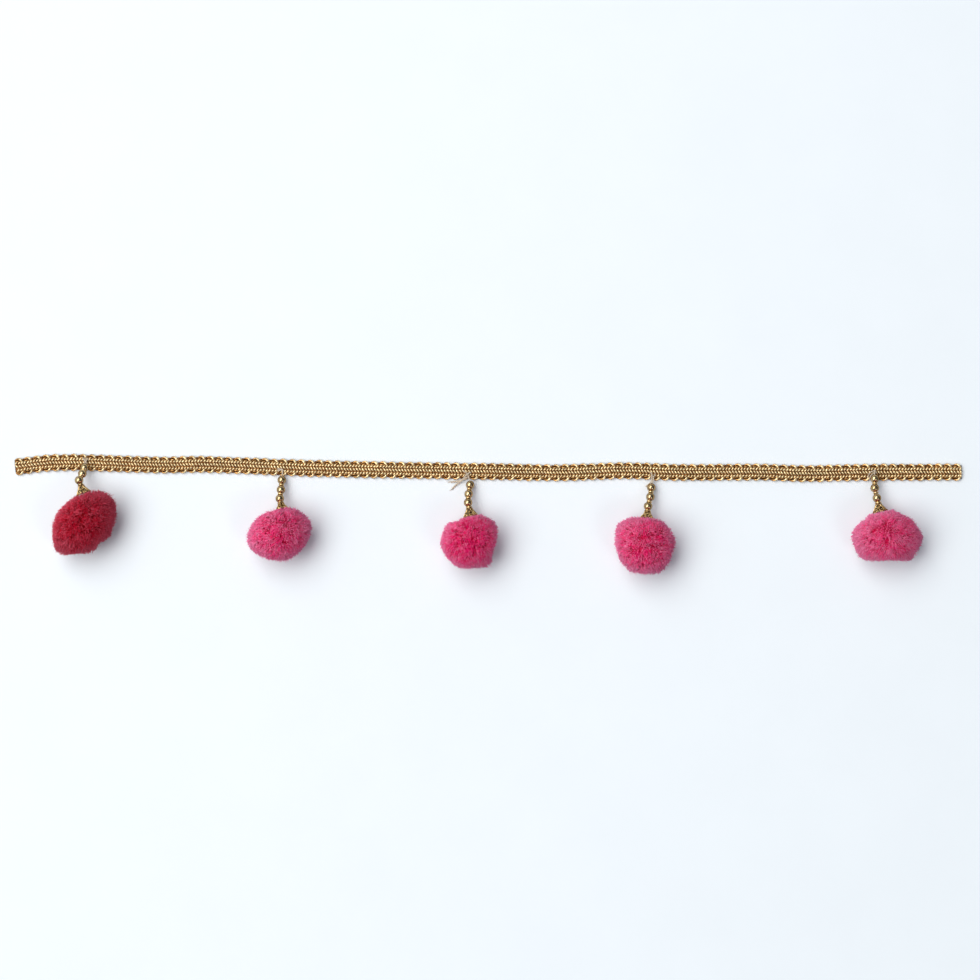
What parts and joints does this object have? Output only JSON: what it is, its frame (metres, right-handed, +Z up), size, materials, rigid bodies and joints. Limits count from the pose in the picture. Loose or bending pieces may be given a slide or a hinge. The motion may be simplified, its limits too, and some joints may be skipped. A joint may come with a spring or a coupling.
{
  "type": "pompom fringe trim",
  "caption": "Gold crocheted braid trim laid out flat, with beaded yarn pompoms hung along one edge under filigree bell caps.",
  "frame": {"origin": "middle of the braid's flat back, on the surface that the trim lies on", "axes": "+X along the braid, -Y from the braid towards the pompoms, +Z up out of the face of the trim"},
  "size_m": [0.3328, 0.0415, 0.0185],
  "materials": {
    "gold_braid": "crocheted metallic gold yarn with brown shade between the stitches",
    "cream_thread": "matt twisted cream thread",
    "gold_bead": "polished gold plate",
    "gold_cap": "antiqued gold plate, bright on the raised wires",
    "crimson_yarn": "matt cut yarn, deep crimson",
    "pink_yarn": "matt cut yarn, raspberry pink, lighter at the tips"
  },
  "bodies": {
    "root": {"braid": "gold_braid", "thread_1": "cream_thread", "thread_2": "cream_thread", "thread_3": "cream_thread", "thread_4": "cream_thread", "thread_5": "cream_thread", "bead_1_1": "gold_bead", "bead_1_2": "gold_bead", "bead_1_3": "gold_bead", "bead_2_1": "gold_bead", "bead_2_2": "gold_bead", "bead_2_3": "gold_bead", "bead_3_1": "gold_bead", "bead_3_2": "gold_bead", "bead_3_3": "gold_bead", "bead_4_1": "gold_bead", "bead_4_2": "gold_bead", "bead_4_3": "gold_bead", "bead_5_1": "gold_bead", "bead_5_2": "gold_bead", "bead_5_3": "gold_bead", "cap_1": "gold_cap", "cap_2": "gold_cap", "cap_3": "gold_cap", "cap_4": "gold_cap", "cap_5": "gold_cap", "pompom_1": "crimson_yarn", "pompom_2": "pink_yarn", "pompom_3": "pink_yarn", "pompom_4": "pink_yarn", "pompom_5": "pink_yarn"}
  },
  "joints": []
}
